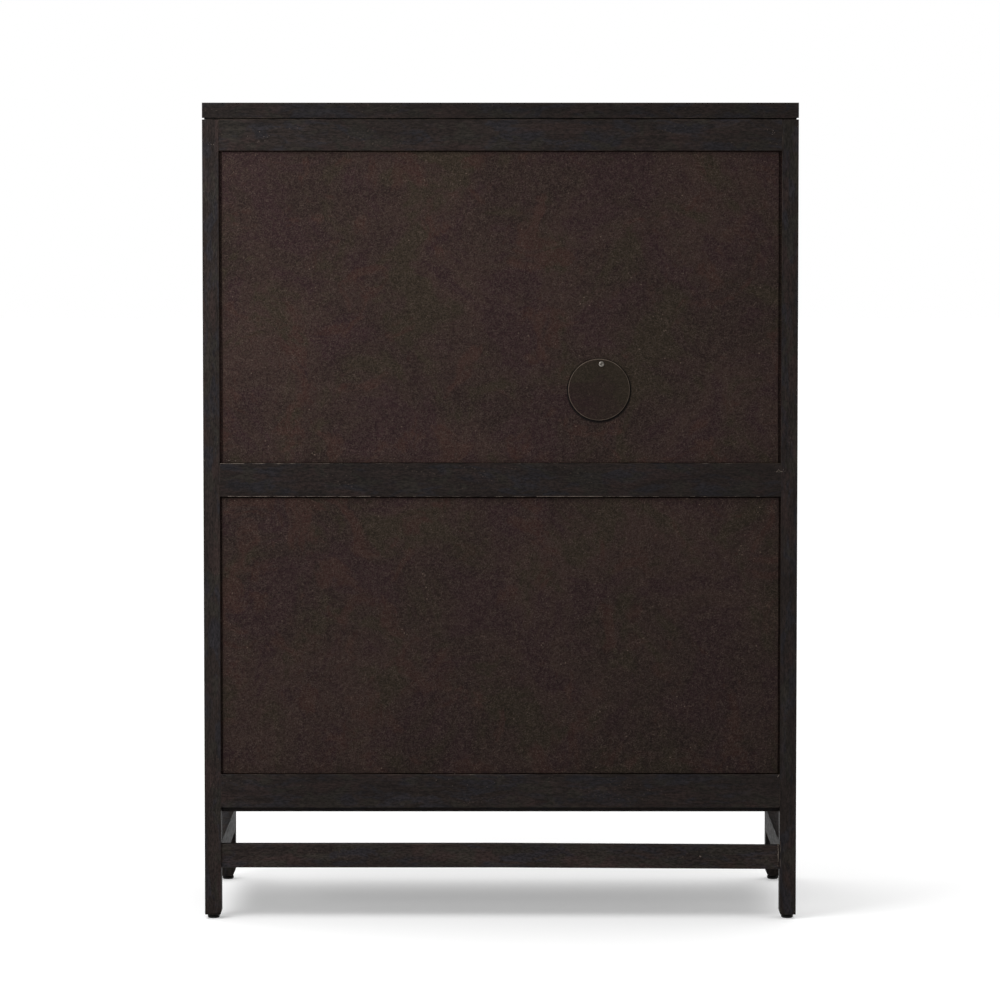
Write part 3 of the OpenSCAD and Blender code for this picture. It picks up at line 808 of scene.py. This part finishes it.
def cover_screw():
    """The cover's pivot screw: shank and round cross head."""
    low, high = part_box("cable_cover_screw")
    middle = 0.5 * (low + high)
    foot = COVER[1].y + COVER_SCREW_LIFT
    head = cross_head(0.5 * (high.x - low.x), high.y - foot)
    radius, depth = COVER_SCREW_SHANK, foot - low.y
    shank = turned([(0, -depth), (radius, -depth), (radius, 0), (0, 0)], 24)
    parts = [placed(shape, (middle.x, foot, middle.z), "+y") for shape in (head, shank)]
    made = piece("cable_cover_screw_turned", join(parts), STEEL,
                 BODY_OF["cable_cover_screw"])
    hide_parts("cable_cover_screw")


def finish_node(node, material):
    """Keeps a CAD node: welded, lightly bevelled, with its own material."""
    shown = NODES[node]
    shown.data.materials.clear()
    shown.data.materials.append(material)
    weld = shown.modifiers.new("weld", "WELD")
    weld.merge_threshold = WELD_GAP
    bevel = shown.modifiers.new("ease", "BEVEL")
    bevel.width = FITTING_EDGE
    bevel.segments = 2
    bevel.limit_method = "ANGLE"
    bevel.angle_limit = math.radians(35)


# ---- Case ----

for node in ("top_panel", "top_spacer", "front_rails", "back_top_rail", "back_middle_rail",
             "back_bottom_rail", "side_rails", "bottom_panel", "middle_deck",
             "drawer_face_frame", "drawer_dividers", "side_stretchers", "shelf"):
    wood_piece(node, tone=BOARD_TONES_AND_SHADE.get(node, 1.0))
wood_piece("back_stretcher", tone=BOARD_TONES_AND_SHADE["back_stretcher"], droop=STRETCHER_DROOP)
for side in SIDES:
    wood_piece(f"leg_front_{side}")
    wood_piece(f"leg_back_{side}", tone=BOARD_TONES_AND_SHADE.get(f"leg_back_{side}", 1.0))
    wood_piece(f"side_panels_{side}", axis=2)
    wood_piece(f"door_{side}_frame")
wood_piece("drawer_runners", DRAWER_WOOD)
back_panel("back_panel_upper", "back_middle_rail", "back_top_rail", side_gap=5.4 * MM,
           foot_gap=0.2 * MM, hole=(COVER_MIDDLE, HOLE_RADIUS))
back_panel("back_panel_lower", "back_bottom_rail", "back_middle_rail", side_gap=3.8 * MM,
           foot_gap=0.8 * MM, foot_shade=0.22)
cover = piece("cable_cover_board", join(boards("cable_cover", COVER_EDGE, shortest=0.4 * MM)),
              COVER_BOARD, BODY_OF["cable_cover"])
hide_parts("cable_cover")
for drawer in DRAWERS:
    drawer_box(drawer)
    card_piece(drawer)

for node, material in (("hinge_leaves", BRASS), ("hinge_pins", BRASS), ("shelf_pins", STEEL),
                       ("glide_sockets", STEEL), ("door_catch", CATCH)):
    finish_node(node, material)
for side in SIDES:
    finish_node(f"door_{side}_glass", GLASS)
    pull_piece(f"door_{side}_knob")
    finish_node(f"door_{side}_fittings", BRASS)
    finish_node(f"glide_front_{side}", GLIDE)
    finish_node(f"glide_back_{side}", GLIDE)
for drawer in DRAWERS:
    pull_piece(f"{drawer}_pull")

cover_screw()

# ---- Traces of old filler ----

# Lines along the middle rail's two edges: start and end, in mm left of the middle as seen
# from behind, and the share of the line still there.
UNDER_RAIL = ((466, 335, 0.9), (333, 222, 0.75), (212, 20, 0.45), (10, -60, 0.35),
              (-62, -175, 0.95), (-180, -252, 0.7), (-260, -470, 0.35))
OVER_RAIL = ((479, 438, 0.85), (434, 350, 0.55), (346, 258, 0.6), (250, -180, 0.26),
             (-190, -470, 0.2))


def mark(x, z):
    """Place on the back: x in mm, left of the middle as seen from behind, and z in metres."""
    return Vector((x * MM, 0.0, z))


def specks(middle, spread, count):
    """Short lines for crumbs scattered about a place, as (start, end, width, cover)."""
    draw = random.Random(count * spread + middle.x)
    lines = []
    for _ in range(count):
        start = middle + Vector((draw.gauss(0, 0.5) * spread, 0, draw.gauss(0, 0.2) * spread))
        end = start + Vector((draw.uniform(0.6, 1.6) * MM, 0, draw.uniform(-0.6, 0.6) * MM))
        lines.append((start, end, draw.uniform(0.7, 1.3) * MM, 1.0))
    return lines


def filler_traces():
    """Broken pale lines along the rails' edges, at the joints and in small dents."""
    over, under = MIDDLE_RAIL[1].z - 0.4 * MM, MIDDLE_RAIL[0].z + 0.5 * MM
    lines = [(mark(start, under), mark(end, under), 1.1 * MM, cover)
             for start, end, cover in UNDER_RAIL]
    lines += [(mark(start, over), mark(end, over), 1.0 * MM, cover)
              for start, end, cover in OVER_RAIL]
    foot = BOTTOM_RAIL[1].z - 0.5 * MM
    lines += [(mark(156, foot), mark(-18, foot), 1.2 * MM, 0.3),
              (mark(479, foot), mark(476, foot - 4 * MM), 0.7 * MM, 0.6),
              (mark(-479, foot), mark(-476, foot - 4 * MM), 1.2 * MM, 0.6)]
    joint = MIDDLE_RAIL[1].z
    lines += specks(mark(-478, joint - 13 * MM), 9 * MM, 16)
    lines.append((mark(-480.5, joint - 4 * MM), mark(-481, joint - 30 * MM), 1.2 * MM, 0.45))
    middle = 0.5 * (TOP_RAIL[0].z + TOP_RAIL[1].z)
    lines += specks(mark(412, middle - 2 * MM), 24 * MM, 9)
    lines += specks(mark(-464, middle + 6 * MM), 14 * MM, 6)
    lines += specks(mark(70, foot - 3 * MM), 60 * MM, 8)
    lines += specks(mark(492, middle - 16 * MM), 9 * MM, 4)
    parts = [crust(start, end, BACK_Y, width, cover, f"filler {number}")
             for number, (start, end, width, cover) in enumerate(lines)]
    parts += stretcher_traces()
    parts.append(crust(mark(473, joint + 6 * MM), mark(452, joint + 4 * MM), PANEL_FACE_Y,
                       2.6 * MM, 0.65, "scuff"))
    piece("filler_traces", join(parts), FILLER, "case")


def stretcher_traces():
    """Filler in the stretcher's joints with the legs, and one dab on its face."""
    face = STRETCHER[1].y
    low, high = STRETCHER[0].z, STRETCHER[1].z
    above, below = high + 6 * MM, low - 12 * MM
    return [crust(mark(-477.6, high), mark(-477.9, low), face, 3.0 * MM, 0.72, "joint a"),
            crust(mark(-481, above), mark(-481, below), BACK_Y, 1.3 * MM, 0.55, "leg edge"),
            crust(mark(478.5, high), mark(479, low), face, 1.4 * MM, 0.5, "joint b"),
            crust(mark(-342, low + 20 * MM), mark(-345, low + 19 * MM), face, 2.2 * MM, 0.9,
                  "dab")]


filler_traces()

# ---- Stage, light and camera ----


def world_light():
    """White to the camera. As light, brighter from above and from beyond the cabinet's front."""
    world = bpy.data.worlds.new("studio")
    world.use_nodes = True
    bpy.context.scene.world = world
    nodes, links = world.node_tree.nodes, world.node_tree.links

    def calc(operation, a, b):
        node = nodes.new("ShaderNodeMath")
        node.operation = operation
        for target, value in zip(node.inputs, (a, b)):
            if isinstance(value, bpy.types.NodeSocket):
                links.new(value, target)
            else:
                target.default_value = value
        return node.outputs[0]

    way = nodes.new("ShaderNodeSeparateXYZ")
    links.new(nodes.new("ShaderNodeTexCoord").outputs["Generated"], way.inputs[0])
    x, y, z = way.outputs
    above = calc("MULTIPLY", calc("POWER", calc("MAXIMUM", z, 0.0), 2.0), WORLD_ABOVE)
    beyond = calc("MULTIPLY", calc("MAXIMUM", calc("MULTIPLY", y, -1.0), 0.0), WORLD_BEYOND)
    beyond = calc("MULTIPLY", beyond, calc("POWER", calc("MAXIMUM", z, 0.0), 2.0))
    left = calc("MULTIPLY", calc("MAXIMUM", x, 0.0), WORLD_LEFT)
    base = calc("MULTIPLY", calc("ADD", y, 1.0), 0.5 * WORLD_BASE)
    light = calc("ADD", calc("ADD", above, beyond), calc("ADD", left, base))
    seen = nodes.new("ShaderNodeLightPath").outputs["Is Camera Ray"]
    strength = calc("MAXIMUM", light, seen)
    nodes["Background"].inputs["Color"].default_value = colour(1.0, 1.0, 1.0)
    links.new(strength, nodes["Background"].inputs["Strength"])


def key_light():
    """Soft square light behind the cabinet, above it and to the camera's left."""
    lamp = bpy.data.lights.new("key", "AREA")
    lamp.shape = "SQUARE"
    lamp.size = KEY_SIZE
    lamp.energy = KEY_POWER
    made = bpy.data.objects.new("key", lamp)
    made.location = KEY_AT
    made.rotation_euler = (Vector(KEY_AIM) - Vector(KEY_AT)).to_track_quat("-Z", "Y").to_euler()
    made.visible_camera = False
    bpy.context.scene.collection.objects.link(made)


def floor():
    """Plain pale floor. It lights the cabinet from below less than it shows to the camera."""
    s = Shader("studio_floor")
    path = s.add("LightPath")
    seen = s.calc("MAXIMUM", path.outputs["Is Camera Ray"], path.outputs["Is Glossy Ray"])
    tone = s.mix(seen, colour(FLOOR_LIT, FLOOR_LIT, FLOOR_LIT),
                 colour(FLOOR_SEEN, FLOOR_SEEN, FLOOR_SEEN))
    material = s.finish(Base_Color=tone, Roughness=0.9, Specular_IOR_Level=0.0,
                        Emission_Color=colour(1.0, 1.0, 1.0),
                        Emission_Strength=s.calc("MULTIPLY", seen, FLOOR_GLOW))
    sheet = bmesh.new()
    bmesh.ops.create_grid(sheet, x_segments=1, y_segments=1, size=FLOOR_REACH)
    mesh = bpy.data.meshes.new("floor")
    sheet.to_mesh(mesh)
    sheet.free()
    mesh.materials.append(material)
    made = bpy.data.objects.new("floor", mesh)
    bpy.context.scene.collection.objects.link(made)


def camera():
    """The view from behind, from just under the cabinet's top and tilted a little down."""
    lens = bpy.data.cameras.new("camera")
    lens.sensor_width = 36.0
    lens.lens = CAMERA_LENS
    lens.clip_end = 200.0
    made = bpy.data.objects.new("camera", lens)
    made.location = (0.0, BACK_Y + CAMERA_DISTANCE, CAMERA_HEIGHT)
    made.rotation_euler = (math.radians(90.0 - CAMERA_TILT), 0.0, math.radians(CAMERA_TURN))
    bpy.context.scene.collection.objects.link(made)
    bpy.context.scene.camera = made


world_light()
floor()
key_light()
camera()
bpy.context.scene.view_settings.view_transform = "Standard"
